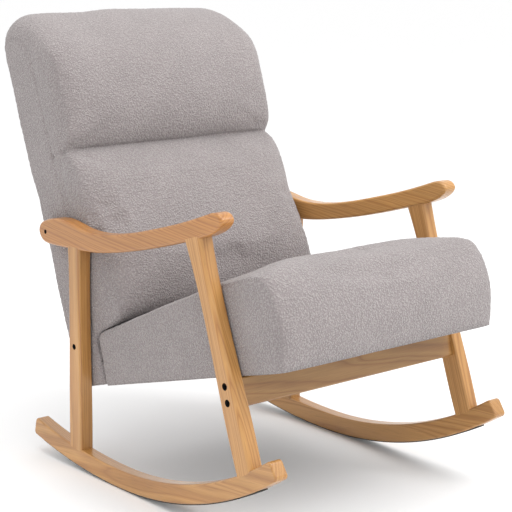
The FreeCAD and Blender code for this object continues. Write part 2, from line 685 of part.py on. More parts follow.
def rear_bolt_set(rear_line):
    """Bolt, threaded insert and rubber spacer of one side, with the cutters that make room for them."""
    inward = X_AXIS * -1
    bearing = rear_bolt_place(rear_line, HALF_WIDTH - REAR_BOLT_RECESS)
    insert_face = rear_bolt_place(rear_line, FRAME_FACE)
    outside = rear_bolt_place(rear_line, HALF_WIDTH + PAST)
    length = bearing.x - FRAME_FACE + INSERT_LENGTH - 2
    bolt = socket_bolt(bearing, inward, REAR_BOLT, REAR_BOLT_HEAD, length)
    thread_room = bore(bearing, inward, REAR_BOLT, length + PAST)
    insert = rod(insert_face, inward, REAR_BOLT + 4, INSERT_LENGTH).cut(thread_room)
    spacer_face = rear_bolt_place(rear_line, INNER_FACE)
    spacer = rod(spacer_face, inward, SPACER_DIAMETER, INNER_FACE - CUSHION_HALF_WIDTH - FIT).cut(thread_room)
    leg_cutters = [rod(outside, inward, REAR_BOLT_HEAD + 2, REAR_BOLT_RECESS + PAST),
                   bore(outside, inward, REAR_BOLT, TIMBER + 2 * PAST)]
    back_cutters = [bore(insert_face, inward, REAR_BOLT + 4, INSERT_LENGTH + FIT),
                    bore(bearing, inward, REAR_BOLT, length + PAST)]
    return bolt, insert, spacer, leg_cutters, back_cutters


def arm_screw_set():
    inward = X_AXIS * -1
    bearing = arm_screw_place(HALF_WIDTH - ARM_SCREW_RECESS)
    length = bearing.x - FRAME_FACE + BOARD - 2
    head = rod(bearing - inward * ARM_SCREW_HEAD_HEIGHT, inward, ARM_SCREW_HEAD, ARM_SCREW_HEAD_HEIGHT)
    screw = head.fuse(rod(bearing, inward, ARM_SCREW, length))
    outside = arm_screw_place(HALF_WIDTH + PAST)
    recess = rod(outside, inward, ARM_SCREW_HEAD + 1, ARM_SCREW_RECESS + PAST)
    return screw, recess, bore(bearing, inward, ARM_SCREW, length + FIT)


def back_bolt_set(x):
    """A bolt through the back's bottom rail into an insert in the seat's rear board, with its bore."""
    seat = on_back(BACK_BOLT_UP, BACK_FRAME_FRONT - BACK_RAIL, x)
    board_face = on_back(BACK_BOLT_UP, BACK_SIDE_DEPTH + 15, x)
    insert = rod(board_face, BACK_FORWARD, RAIL_BOLT + 4, INSERT_LENGTH)
    length = (board_face - seat).Length + INSERT_LENGTH
    bolt = socket_bolt(seat, BACK_FORWARD, RAIL_BOLT, RAIL_BOLT_HEAD, length)
    thread_room = bore(seat, BACK_FORWARD, RAIL_BOLT, length + PAST)
    insert_room = bore(board_face, BACK_FORWARD, RAIL_BOLT + 4, INSERT_LENGTH)
    return bolt, insert.cut(thread_room), [thread_room, insert_room]


# ---- Assembly ----

def build():
    base = runner()
    arm = armrest()
    front_line = LegLine(FRONT_FOOT_Y, FRONT_LEG_SLANT)
    rear_line = LegLine(REAR_FOOT_Y, REAR_LEG_SLANT)
    front_leg = leg(front_line, arm, base, FRONT_LEG_HEAD, OUTER_EDGE_ROUND)
    rear_leg = leg(rear_line, arm, base, REAR_LEG_HEAD, EDGE_ROUND + 1)

    foot_dowels = []
    arm_dowels = []
    for centre in (front_line, rear_line):
        height = centre.length_to(arm)
        foot_dowels += leg_dowels(centre, 0)
        arm_dowels += leg_dowels(centre, height)
        for hole in dowel_bores(centre, 0):
            base = base.cut(hole)
            front_leg = front_leg.cut(hole)
            rear_leg = rear_leg.cut(hole)
        for hole in dowel_bores(centre, height):
            arm = arm.cut(hole)
            front_leg = front_leg.cut(hole)
            rear_leg = rear_leg.cut(hole)

    rail_forward = rail_forward_on_seat(front_line)
    front_leg = with_rail_bolt_holes(front_leg, rail_forward)
    rear_bolt, insert, spacer, leg_cutters, back_cutters = rear_bolt_set(rear_line)
    for cutter in leg_cutters:
        rear_leg = rear_leg.cut(cutter)
    screw, screw_recess, screw_bore = arm_screw_set()
    arm = arm.cut(screw_recess).cut(screw_bore)

    add_pair("rocker_runner", base)
    add_pair("anti_slip_strip", anti_slip_strip())
    add_pair("front_leg", front_leg)
    add_pair("rear_leg", rear_leg)
    add_pair("armrest", arm)
    add("leg_foot_dowels", *[solid for dowel in foot_dowels for solid in both_sides(dowel)])
    add("armrest_dowels", *[solid for dowel in arm_dowels for solid in both_sides(dowel)])
    add("front_cross_rail", front_cross_rail(rail_forward))
    rail_sets = [rail_bolt_and_nut(ahead, up) for ahead, up in rail_bolt_places(rail_forward)]
    add("front_rail_bolts", *[solid for bolt, _ in rail_sets for solid in both_sides(bolt)])
    add("front_rail_barrel_nuts", *[solid for _, nut in rail_sets for solid in both_sides(nut)])
    add("rear_leg_bolts", *both_sides(rear_bolt))
    add("rear_leg_inserts", *both_sides(insert))
    add("rear_leg_spacers", *both_sides(spacer))
    add("armrest_screws", *both_sides(screw))

    back_bolts = [back_bolt_set(x) for x in (-BACK_BOLT_OFFSET, BACK_BOLT_OFFSET)]
    back_bolt_bores = [hole for _, _, holes in back_bolts for hole in holes]
    add("seat_to_back_bolts", *[bolt for bolt, _, _ in back_bolts])
    add("seat_to_back_inserts", *[nut for _, nut, _ in back_bolts])
    make_seat(rail_forward, back_bolt_bores)
    make_back(back_cutters + [screw_bore], back_bolt_bores)


def move_to_origin():
    """Put the origin at the bottom centre of the chair's box."""
    box = FreeCAD.BoundBox()
    for shape in parts.values():
        box.add(shape.optimalBoundingBox(False, False))
    middle = box.Center
    for shape in parts.values():
        shape.translate(Vector(-middle.x, -middle.y, -box.ZMin))


build()
move_to_origin()
os.makedirs("parts", exist_ok=True)
for node, shape in parts.items():
    shape.exportStep(os.path.join("parts", node + ".step"))
    print(node, len(shape.Solids), shape.isValid(), round(shape.Volume / 1000, 1))
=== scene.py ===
import math

import bmesh
import bpy
import numpy as np
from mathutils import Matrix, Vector, noise
from mathutils.kdtree import KDTree


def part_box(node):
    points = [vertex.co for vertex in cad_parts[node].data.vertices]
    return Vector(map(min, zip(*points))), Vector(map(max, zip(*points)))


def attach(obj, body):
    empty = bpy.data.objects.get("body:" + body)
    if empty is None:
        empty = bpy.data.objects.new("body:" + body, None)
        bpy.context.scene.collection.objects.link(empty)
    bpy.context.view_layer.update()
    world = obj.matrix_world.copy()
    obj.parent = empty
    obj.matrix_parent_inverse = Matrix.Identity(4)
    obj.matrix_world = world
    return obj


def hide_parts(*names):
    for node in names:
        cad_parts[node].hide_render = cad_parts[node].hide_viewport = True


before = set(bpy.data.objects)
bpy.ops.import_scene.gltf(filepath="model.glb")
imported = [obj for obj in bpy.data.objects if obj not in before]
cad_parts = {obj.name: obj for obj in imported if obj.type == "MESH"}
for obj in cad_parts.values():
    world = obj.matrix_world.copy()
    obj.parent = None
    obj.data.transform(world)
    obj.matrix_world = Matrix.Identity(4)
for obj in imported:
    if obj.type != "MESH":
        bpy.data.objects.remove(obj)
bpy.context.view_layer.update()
scene = bpy.context.scene
scene.view_settings.view_transform = "Standard"


# ---- Camera ----
# A long lens looks down a little on the sitter's right front corner of the chair.

camera_turn = math.radians(-39.99)
camera_height = math.radians(11.78)
level = math.cos(camera_height)
away = Vector((math.sin(camera_turn) * level, -math.cos(camera_turn) * level, math.sin(camera_height)))
camera_data = bpy.data.cameras.new("camera")
camera_data.sensor_width = 36.0
camera_data.lens = 108.2
camera_data.shift_x = -0.0029
camera_data.shift_y = 0.0086
camera = bpy.data.objects.new("camera", camera_data)
camera.location = (-1.9524, -2.3818, 1.0690)
camera.rotation_mode = "QUATERNION"
camera.rotation_quaternion = (-away).to_track_quat("-Z", "Y")
scene.collection.objects.link(camera)
scene.camera = camera


# ---- Studio ----
# A plain pale floor that runs past the horizon, an even pale surround, and two large soft lamps:
# the key above the chair's front left, a weaker one overhead.

def linear(code):
    """An sRGB hex colour as linear RGBA."""
    parts = [int(code[i:i + 2], 16) / 255 for i in (1, 3, 5)]
    return tuple(p / 12.92 if p <= 0.04045 else ((p + 0.055) / 1.055) ** 2.4 for p in parts) + (1.0,)


def put(tree, kind, settings=None, inputs=None):
    """Add a node. Settings are its own properties; an input is a value, or a socket to link from."""
    node = tree.nodes.new(kind)
    for key, value in (settings or {}).items():
        setattr(node, key, value)
    for key, value in (inputs or {}).items():
        if isinstance(value, bpy.types.NodeSocket):
            tree.links.new(value, node.inputs[key])
        else:
            node.inputs[key].default_value = value
    return node


def new_material(name):
    material = bpy.data.materials.new(name)
    material.use_nodes = True
    material.node_tree.nodes.clear()
    return material, material.node_tree


def finish_material(tree, shader):
    put(tree, "ShaderNodeOutputMaterial", inputs={"Surface": shader.outputs["BSDF"]})


floor_paint, tree = new_material("matt_white_paint")
finish_material(tree, put(tree, "ShaderNodeBsdfPrincipled",
                          inputs={"Base Color": linear("#F4F4F4"), "Roughness": 0.9,
                                  "Specular IOR Level": 0.1}))

floor_reach = 60.0
floor_mesh = bpy.data.meshes.new("floor")
floor_mesh.from_pydata([(-floor_reach, -floor_reach, 0), (floor_reach, -floor_reach, 0),
                        (floor_reach, floor_reach, 0), (-floor_reach, floor_reach, 0)], [], [(0, 1, 2, 3)])
floor_mesh.materials.append(floor_paint)
floor = bpy.data.objects.new("floor", floor_mesh)
scene.collection.objects.link(floor)

surround = bpy.data.worlds.new("surround")
surround.use_nodes = True
glow = surround.node_tree.nodes["Background"]
glow.inputs["Color"].default_value = (1.0, 1.0, 1.0, 1.0)
glow.inputs["Strength"].default_value = 1.10
scene.world = surround

chair_middle = Vector((0, 0, 0.4))


def add_lamp(name, place, side, power):
    """A square lamp that faces the middle of the chair. side is in metres, power in watts."""
    lamp = bpy.data.lights.new(name, "AREA")
    lamp.size = side
    lamp.energy = power
    lamp_object = bpy.data.objects.new(name, lamp)
    lamp_object.location = place
    lamp_object.rotation_mode = "QUATERNION"
    lamp_object.rotation_quaternion = (chair_middle - Vector(place)).to_track_quat("-Z", "Y")
    scene.collection.objects.link(lamp_object)


add_lamp("key_lamp", place=(1.2, -2.4, 3.3), side=2.0, power=66.0)
add_lamp("top_lamp", place=(-0.4, -0.2, 3.6), side=2.4, power=38.0)


# ---- Side frames ----
# Runners, legs, armrests and the cross rail are sawn from planks of pale ring-porous hardwood, sanded round
# and sprayed with a clear satin lacquer. The rings cut the curved faces as long arches, and the pores are
# short dark dashes in them.

GROWTH_RING = 0.0052      # drawn a little coarser than real rings, so that they show
RING_STRAY = 0.020        # how far the rings stray to the sides
RING_LEAN = 0.040         # how much they lean along the plank
SEASONS = 2.2             # by how many rings wet and dry years shift them
PORE = 0.0009
FIBRE = 0.0016
NO_STAIN = (1.0, 1.0, 1.0)


def hardwood(name, turn, pith, seed, stain_and_painted_light):
    """Lacquered timber. turn (about X, Y, Z) brings the plank's length onto Z, pith is the tree's centre from
    it, and the last argument multiplies its colour: a board's own tint, with painted light on the left
    armrest and painted shade on the cross rail."""
    material, tree = new_material(name)
    place = put(tree, "ShaderNodeTexCoord").outputs["Object"]
    plank = put(tree, "ShaderNodeMapping",
                inputs={"Vector": place, "Rotation": turn, "Location": (seed, -seed, 0)})
    drawn_out = put(tree, "ShaderNodeMapping", inputs={"Vector": plank.outputs[0], "Scale": (1.0, 1.0, 0.16)})
    bend = put(tree, "ShaderNodeTexNoise",
               inputs={"Vector": drawn_out.outputs[0], "Scale": 16.0, "Detail": 2.0})
    bend_out = put(tree, "ShaderNodeVectorMath", {"operation": "MULTIPLY_ADD"},
                   {0: bend.outputs["Color"], 1: (RING_STRAY, RING_STRAY, 0.0), 2: plank.outputs[0]})
    split = put(tree, "ShaderNodeSeparateXYZ", inputs={0: bend_out.outputs[0]})
    leaning = put(tree, "ShaderNodeMath", {"operation": "MULTIPLY_ADD"},
                  {0: split.outputs["Z"], 1: RING_LEAN, 2: split.outputs["Y"]})
    off_x = put(tree, "ShaderNodeMath", {"operation": "SUBTRACT"}, {0: split.outputs["X"], 1: pith[0] + seed})
    off_y = put(tree, "ShaderNodeMath", {"operation": "SUBTRACT"}, {0: leaning.outputs[0], 1: pith[1] - seed})
    flat = put(tree, "ShaderNodeCombineXYZ", inputs={"X": off_x.outputs[0], "Y": off_y.outputs[0]})
    radius = put(tree, "ShaderNodeVectorMath", {"operation": "LENGTH"}, {0: flat.outputs[0]})
    seasons = put(tree, "ShaderNodeTexNoise", {"noise_dimensions": "1D"},
                  {"W": radius.outputs["Value"], "Scale": 0.5 / GROWTH_RING, "Detail": 1.0})
    even = put(tree, "ShaderNodeMath", {"operation": "DIVIDE"}, {0: radius.outputs["Value"], 1: GROWTH_RING})
    count = put(tree, "ShaderNodeMath", {"operation": "MULTIPLY_ADD"},
                {0: seasons.outputs["Fac"], 1: SEASONS, 2: even.outputs[0]})
    ring = put(tree, "ShaderNodeMath", {"operation": "FRACT"}, {0: count.outputs[0]})
    tone = put(tree, "ShaderNodeValToRGB", inputs={"Fac": ring.outputs[0]})
    stops = tone.color_ramp.elements
    stops[0].position, stops[0].color = 0.0, linear("#9F6B36")
    stops[1].position, stops[1].color = 1.0, linear("#A5723B")
    for position, colour in ((0.16, "#B58347"), (0.62, "#BD8C50"), (0.90, "#AE7A40")):
        stop = stops.new(position)
        stop.color = linear(colour)

    stretched = put(tree, "ShaderNodeMapping",
                    inputs={"Vector": plank.outputs[0], "Scale": (1.0, 1.0, 0.022)})
    fibres = put(tree, "ShaderNodeTexNoise",
                 inputs={"Vector": stretched.outputs[0], "Scale": 1 / FIBRE, "Detail": 4.0,
                         "Roughness": 0.65})
    fibre_tone = put(tree, "ShaderNodeMapRange", inputs={"Value": fibres.outputs["Fac"], "From Min": 0.3,
                                                         "From Max": 0.7, "To Min": 0.86, "To Max": 1.08})
    fibre_mix = put(tree, "ShaderNodeVectorMath", {"operation": "SCALE"},
                    {0: tone.outputs["Color"], "Scale": fibre_tone.outputs[0]})
    dashes = put(tree, "ShaderNodeMapping", inputs={"Vector": plank.outputs[0], "Scale": (1.0, 1.0, 0.05)})
    pores = put(tree, "ShaderNodeTexVoronoi", inputs={"Vector": dashes.outputs[0], "Scale": 1 / (3 * PORE)})
    pore_mark = put(tree, "ShaderNodeMapRange", inputs={"Value": pores.outputs["Distance"], "From Min": 0.10,
                                                        "From Max": 0.28, "To Min": 0.84, "To Max": 1.0})
    pore_mix = put(tree, "ShaderNodeVectorMath", {"operation": "SCALE"},
                   {0: fibre_mix.outputs[0], "Scale": pore_mark.outputs[0]})
    patches = put(tree, "ShaderNodeTexNoise",
                  inputs={"Vector": drawn_out.outputs[0], "Scale": 9.0, "Detail": 1.0})
    patch_tone = put(tree, "ShaderNodeMapRange", inputs={"Value": patches.outputs["Fac"], "From Min": 0.35,
                                                         "From Max": 0.65, "To Min": 0.88, "To Max": 1.08})
    patched = put(tree, "ShaderNodeVectorMath", {"operation": "SCALE"},
                  {0: pore_mix.outputs[0], "Scale": patch_tone.outputs[0]})
    colour = put(tree, "ShaderNodeVectorMath", {"operation": "MULTIPLY"}, {0: patched.outputs[0], 1: stain_and_painted_light})

    gloss = put(tree, "ShaderNodeMapRange", inputs={"Value": fibres.outputs["Fac"], "From Min": 0.3,
                                                    "From Max": 0.7, "To Min": 0.44, "To Max": 0.34})
    relief = put(tree, "ShaderNodeMath", {"operation": "ADD"},
                 {0: fibres.outputs["Fac"], 1: pore_mark.outputs[0]})
    bump = put(tree, "ShaderNodeBump",
               inputs={"Strength": 0.22, "Distance": 0.0004, "Height": relief.outputs[0]})
    finish_material(tree, put(tree, "ShaderNodeBsdfPrincipled",
                              inputs={"Base Color": colour.outputs[0], "Roughness": gloss.outputs[0],
                                      "Normal": bump.outputs[0], "IOR": 1.5, "Coat Weight": 0.50,
                                      "Coat Roughness": 0.16}))
    return material


def dress(node, material):
    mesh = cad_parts[node].data
    mesh.materials.clear()
    mesh.materials.append(material)


# the boards nearly match: the right armrest is a warm one; the left is paler, lightened as painted light on
# its inner side that lies in shade; the cross rail is a darker board, darkened further as painted shade from
# the seat above it
ARM_TINT_AND_PAINTED_LIGHT = {"right": (0.94, 0.80, 0.60), "left": (1.10, 1.10, 1.05)}
RAIL_STAIN_AND_PAINTED_SHADE = (0.66, 0.66, 0.64)
upright = math.radians(90)
leg_slant = math.radians(19.5)

# each plank's finish, turn about X and pith, and the shift that takes it from another part of the tree
planks = {"rocker_runner": ("lacquered_runner", upright + 0.10, (0.05, 0.02), 0.0),
          "armrest": ("lacquered_armrest", upright - 0.06, (0.06, -0.04), 0.31),
          "front_leg": ("lacquered_front_leg", leg_slant, (0.10, 0.05), 0.52),
          "rear_leg": ("lacquered_rear_leg", -0.02, (0.07, 0.11), 0.77)}
for side, step in (("left", 0.13), ("right", 0.0)):
    for piece, (finish, turn, pith, shift) in planks.items():
        # the left armrest's tint holds painted light
        stain_and_painted_light = ARM_TINT_AND_PAINTED_LIGHT[side] if piece == "armrest" else NO_STAIN
        dress(piece + "_" + side, hardwood(finish + "_" + side, (turn, 0, 0), pith, step + shift, stain_and_painted_light))
# the cross rail's tint is partly its darker board and partly painted shade from the seat above it
dress("front_cross_rail", hardwood("lacquered_cross_rail", (0, upright, 0), (0.08, 0.04), 0.41, RAIL_STAIN_AND_PAINTED_SHADE))


# ---- Anti-slip strips ----
# Strips of thin extruded rubber are glued under the runners, and rubber spacers sit on the rear legs' bolts.
# The rubber is matt black, faintly ribbed and a little dusty.

def rubber(name, code):
    material, tree = new_material(name)
    place = put(tree, "ShaderNodeTexCoord").outputs["Object"]
    split = put(tree, "ShaderNodeSeparateXYZ", inputs={0: place})
    ribs = put(tree, "ShaderNodeMath", {"operation": "PINGPONG"}, {0: split.outputs["X"], 1: 0.0011})
    ribs_up = put(tree, "ShaderNodeMath", {"operation": "MULTIPLY"}, {0: ribs.outputs[0], 1: 900.0})
    dust = put(tree, "ShaderNodeTexNoise", inputs={"Vector": place, "Scale": 240.0, "Detail": 3.0})
    tone = put(tree, "ShaderNodeMapRange",
               inputs={"Value": dust.outputs["Fac"], "To Min": 0.75, "To Max": 1.5})
    colour = put(tree, "ShaderNodeVectorMath", {"operation": "SCALE"},
                 {0: linear(code)[:3], "Scale": tone.outputs[0]})
    bump = put(tree, "ShaderNodeBump",
               inputs={"Strength": 0.5, "Distance": 0.0006, "Height": ribs_up.outputs[0]})
    finish_material(tree, put(tree, "ShaderNodeBsdfPrincipled",
                              inputs={"Base Color": colour.outputs[0], "Roughness": 0.75,
                                      "Normal": bump.outputs[0], "IOR": 1.52}))
    return material


strip_rubber = rubber("black_rubber", "#2A2927")
for node in ("anti_slip_strip_left", "anti_slip_strip_right", "rear_leg_spacers"):
    dress(node, strip_rubber)


# ---- Fasteners ----
# Socket bolts and armrest screws are blackened steel, sunk in drilled recesses whose walls are painted black
# as painted shade. Inserts, nuts, springs and clips are bright zinc-plated steel, with the faint drawing
# marks of wire and bar.

def steel(name, code, roughness, metallic):
    material, tree = new_material(name)
    place = put(tree, "ShaderNodeTexCoord").outputs["Object"]
    marks = put(tree, "ShaderNodeTexNoise", inputs={"Vector": place, "Scale": 700.0, "Detail": 4.0})
    rough = put(tree, "ShaderNodeMapRange", inputs={"Value": marks.outputs["Fac"], "To Min": roughness - 0.08,
                                                    "To Max": roughness + 0.10})
    tone = put(tree, "ShaderNodeMapRange",
               inputs={"Value": marks.outputs["Fac"], "To Min": 0.85, "To Max": 1.15})
    colour = put(tree, "ShaderNodeVectorMath", {"operation": "SCALE"},
                 {0: linear(code)[:3], "Scale": tone.outputs[0]})
    bump = put(tree, "ShaderNodeBump",
               inputs={"Strength": 0.15, "Distance": 0.0002, "Height": marks.outputs["Fac"]})
    finish_material(tree, put(tree, "ShaderNodeBsdfPrincipled",
                              inputs={"Base Color": colour.outputs[0], "Roughness": rough.outputs[0],
                                      "Metallic": metallic, "Normal": bump.outputs[0]}))
    return material


black_steel = steel("blackened_steel", "#262423", 0.45, 0.8)
zinc_steel = steel("zinc_plated_steel", "#B4B6B9", 0.32, 1.0)
for node in ("rear_leg_bolts", "front_rail_bolts", "armrest_screws"):
    dress(node, black_steel)


RECESS_REACH = 0.0016     # the most by which a recess wall stands off its bolt's outline
# painted shade: near-black for the walls of the drilled recesses
recess_shade = rubber("painted_recess_shade", "#0D0C0B")


def darken_recesses(node, bolts):
    """Paint the walls of drilled recesses black, as painted shade: the faces along X that lie close around a
    bolt's outline.
    """
    seen = [Vector((0, v.co.y, v.co.z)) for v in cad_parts[bolts].data.vertices]
    near = KDTree(len(seen))
    for index, place in enumerate(seen):
        near.insert(place, index)
    near.balance()
    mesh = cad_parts[node].data
    mesh.materials.append(recess_shade)
    for face in mesh.polygons:
        rim = [mesh.vertices[v].co for v in face.vertices]
        close = all(near.find(Vector((0, p.y, p.z)))[2] < RECESS_REACH for p in rim)
        if close and abs(face.normal.x) < 0.5:
            face.material_index = 1


for side in ("left", "right"):
    darken_recesses("front_leg_" + side, "front_rail_bolts")
    darken_recesses("rear_leg_" + side, "rear_leg_bolts")
    darken_recesses("armrest_" + side, "armrest_screws")
for node in ("front_rail_barrel_nuts", "rear_leg_inserts", "seat_to_back_bolts", "seat_to_back_inserts",
             "seat_mounting_screws", "seat_springs", "seat_spring_clips"):
    dress(node, zinc_steel)


# ---- Inner frames, webbing and dowels ----
# Seat and back are built on plywood boards, raw and matt, that the covers hide. The back's pads lie on black
# woven straps, and the dowels of the side frames are turned from beech and glued in.

def raw_board(name, code, ply):
    material, tree = new_material(name)
    place = put(tree, "ShaderNodeTexCoord").outputs["Object"]
    layers = put(tree, "ShaderNodeTexWave", {"wave_type": "BANDS", "bands_direction": "X"},
                 {"Vector": place, "Scale": 1 / (20 * ply), "Distortion": 1.2, "Detail": 2.0})
    tone = put(tree, "ShaderNodeMapRange",
               inputs={"Value": layers.outputs["Fac"], "To Min": 0.82, "To Max": 1.05})
    colour = put(tree, "ShaderNodeVectorMath", {"operation": "SCALE"},
                 {0: linear(code)[:3], "Scale": tone.outputs[0]})
    bump = put(tree, "ShaderNodeBump",
               inputs={"Strength": 0.3, "Distance": 0.0003, "Height": layers.outputs["Fac"]})
    finish_material(tree, put(tree, "ShaderNodeBsdfPrincipled",
                              inputs={"Base Color": colour.outputs[0], "Roughness": 0.8,
                                      "Normal": bump.outputs[0]}))
    return material


plywood = raw_board("raw_plywood", "#C9A878", 0.0015)
beech = raw_board("turned_beech", "#CFA87C", 0.0008)
for node in ("seat_side_board_left", "seat_side_board_right", "seat_front_board", "seat_rear_board",
             "seat_bearer", "back_side_board_left", "back_side_board_right", "back_bottom_rail",
             "back_lumbar_rail", "back_top_rail"):
    dress(node, plywood)
for node in ("leg_foot_dowels", "armrest_dowels"):
    dress(node, beech)


def woven(name, code, thread, depth):
    """Plain weave of threads of one width, seen from Z and from the sides alike."""
    material, tree = new_material(name)
    place = put(tree, "ShaderNodeTexCoord").outputs["Object"]
    warp = put(tree, "ShaderNodeTexWave", {"wave_type": "BANDS", "bands_direction": "X"},
               {"Vector": place, "Scale": 1 / (20 * thread), "Distortion": 0.3})
    weft = put(tree, "ShaderNodeTexWave", {"wave_type": "BANDS", "bands_direction": "Y"},
               {"Vector": place, "Scale": 1 / (20 * thread), "Distortion": 0.3})
    cross = put(tree, "ShaderNodeMath", {"operation": "MULTIPLY"},
                {0: warp.outputs["Fac"], 1: weft.outputs["Fac"]})
    tone = put(tree, "ShaderNodeMapRange", inputs={"Value": cross.outputs[0], "To Min": 0.7, "To Max": 1.5})
    colour = put(tree, "ShaderNodeVectorMath", {"operation": "SCALE"},
                 {0: linear(code)[:3], "Scale": tone.outputs[0]})
    bump = put(tree, "ShaderNodeBump",
               inputs={"Strength": 0.6, "Distance": depth, "Height": cross.outputs[0]})
    finish_material(tree, put(tree, "ShaderNodeBsdfPrincipled",
                              inputs={"Base Color": colour.outputs[0], "Roughness": 0.9,
                                      "Normal": bump.outputs[0]}))
    return material


dress("back_webbing", woven("polypropylene_webbing", "#303036", 0.002, 0.0006))


# ---- Fleece ----
# Seat and back are covered in teddy fleece, a knitted backing with short curled pile. The curls stand in
# lumps a few millimetres across, with painted light on their tops and painted shade between them, and the
# loose fibre ends soften the light.

CURL = 0.0037             # across one lump of curls


def teddy_fleece(name, hollow_shade, pale, lit):
    material, tree = new_material(name)
    place = put(tree, "ShaderNodeTexCoord").outputs["Object"]
    wander = put(tree, "ShaderNodeTexNoise",
                 inputs={"Vector": place, "Scale": 1 / (1.6 * CURL), "Detail": 2.0})
    shifted = put(tree, "ShaderNodeVectorMath", {"operation": "MULTIPLY_ADD"},
                  {0: wander.outputs["Color"], 1: (0.9 * CURL,) * 3, 2: place})
    lumps = put(tree, "ShaderNodeTexVoronoi", {"feature": "SMOOTH_F1"},
                {"Vector": shifted.outputs[0], "Scale": 1 / CURL, "Smoothness": 0.35, "Randomness": 1.0})
    fibre = put(tree, "ShaderNodeTexNoise", inputs={"Vector": shifted.outputs[0], "Scale": 1 / (0.22 * CURL),
                                                    "Detail": 3.0, "Roughness": 0.7})
    hill = put(tree, "ShaderNodeMapRange", {"interpolation_type": "SMOOTHSTEP"},
               {"Value": lumps.outputs["Distance"], "From Min": 0.12, "From Max": 0.72, "To Min": 1.0,
                "To Max": 0.0})
    height = put(tree, "ShaderNodeMath", {"operation": "MULTIPLY_ADD"},
                 {0: fibre.outputs["Fac"], 1: 0.45, 2: hill.outputs[0]})
    # painted light and shade: the colour runs from the shaded hollows between the curls to their lit tops
    tone = put(tree, "ShaderNodeValToRGB", inputs={"Fac": hill.outputs[0]})
    stops = tone.color_ramp.elements
    stops[0].position, stops[0].color = 0.05, linear(hollow_shade)
    stops[1].position, stops[1].color = 0.95, linear(lit)
    middle = stops.new(0.5)
    middle.color = linear(pale)
    shade = put(tree, "ShaderNodeTexNoise", inputs={"Vector": place, "Scale": 14.0, "Detail": 2.0})
    drift = put(tree, "ShaderNodeMapRange", inputs={"Value": shade.outputs["Fac"], "From Min": 0.35,
                                                    "From Max": 0.65, "To Min": 0.965, "To Max": 1.03})
    speck = put(tree, "ShaderNodeMapRange", inputs={"Value": fibre.outputs["Fac"], "From Min": 0.3,
                                                    "From Max": 0.7, "To Min": 0.95, "To Max": 1.04})
    both = put(tree, "ShaderNodeMath", {"operation": "MULTIPLY"}, {0: drift.outputs[0], 1: speck.outputs[0]})
    colour = put(tree, "ShaderNodeVectorMath", {"operation": "SCALE"},
                 {0: tone.outputs["Color"], "Scale": both.outputs[0]})
    bump = put(tree, "ShaderNodeBump",
               inputs={"Strength": 1.0, "Distance": 0.0018, "Height": height.outputs[0]})
    finish_material(tree, put(tree, "ShaderNodeBsdfPrincipled",
                              inputs={"Base Color": colour.outputs[0], "Roughness": 0.95,
                                      "Specular IOR Level": 0.15, "Normal": bump.outputs[0],
                                      "Sheen Weight": 0.35, "Sheen Roughness": 0.45}))
    return material


# the fleece's colours in the painted shade between the curls, midway, and in the painted light on their tops
fleece = teddy_fleece("grey_teddy_fleece", "#908888", "#9D9594", "#A49C9B")


# ---- Seat cushion ----
# A boxed foam cushion in fleece: two flat side panels, and one long panel that wraps from the rear over the
# crowned top and down the round front. The panels meet in plain seams that sink into the pile.

seat_low, seat_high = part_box("seat_cover")
VOXEL = 0.006
PANEL_HALF = seat_high.x - 0.0007     # cushion's half width before it swells
PANEL_LIMIT = seat_high.x - 0.0002    # the armrests and legs start just outside it
SIDE_BULGE = 0.006        # how far the sides may stand out where no timber lies beside them
SLICES = 41               # across a cushion
EVEN_SHARE = 0.45         # how evenly they lie, from 0, crowded towards its sides, to 1
SEAM_STEP = 0.002
SEAM_DEPTH = 0.0020
SEAM_WIDTH = 0.0040
SEAM_FADE = 0.92          # share of the half width at which a seam that fades starts to
SEAM_HOLD = 1.2 * VOXEL   # how near a seam the cloth is held
PRESSURE = 4.0
SIM_FRAMES = 20
PILE_LUMP = 0.0060        # across the lumps of the pile
PILE_HEIGHT = 0.0008
seat_tilt = math.radians(15.0)
seat_rear_thickness = 0.104
LEG_FRONT = 0.465         # the front legs end here, measured along the seat
LEG_EASE = 0.045          # length over which the sides fill out in front of them
SEAT_SQUARENESS = 6       # how nearly the crowned top keeps its height out to the sides
SEAT_SHOULDER = 0.4       # and how round it falls off there, a smaller power being squarer
SEAT_CORNER = 0.007       # radius of the front's corners, seen from above
SEAT_ROUNDS = (0.42, 0.56)    # where along the seat the corners set in, and where they are full
SEAT_FRONT_SWELL = 0.009
SEAT_SWELLS = (0.50, 0.57)    # where along the seat the front's swell sets in, and where it is full
SEAT_SWELL_CAP = 0.007
UNDERSIDE_UP = 0.0004     # the underside is pulled level, this far over the seat's lowest corner
UNDERSIDE_REACH = 0.012   # skin that faces down counts as underside up to here
seat_corner = Vector((0, seat_high.y - seat_rear_thickness * math.sin(seat_tilt), seat_low.z))
seat_forward = Vector((0, -math.cos(seat_tilt), math.sin(seat_tilt)))
seat_up = Vector((0, math.sin(seat_tilt), math.cos(seat_tilt)))


def smooth_loop(rows, fine):
    """A smooth line through rows of numbers, with fine steps between each pair."""
    rows = np.array(rows, dtype=float)
    padded = np.vstack([2 * rows[0] - rows[1], rows, 2 * rows[-1] - rows[-2]])
    out = []
    for a, b, c, d in zip(padded, padded[1:], padded[2:], padded[3:]):
        for t in np.arange(fine) / fine:
            out.append(0.5 * (2 * b + (c - a) * t + (2 * a - 5 * b + 4 * c - d) * t ** 2
                              + (3 * b - a - 3 * c + d) * t ** 3))
    out.append(rows[-1])
    return np.array(out)


def rise(value, start, end):
    t = np.clip((value - start) / (end - start), 0, 1)
    return t * t * (3 - 2 * t)


def corner_drop(x, half, radius):
    """How far a round corner of a panel falls back at x."""
    t = np.clip((abs(x) - (half - radius)) / radius, 0, 1)
    return radius * (1 - np.sqrt(np.maximum(0, 1 - t * t)))


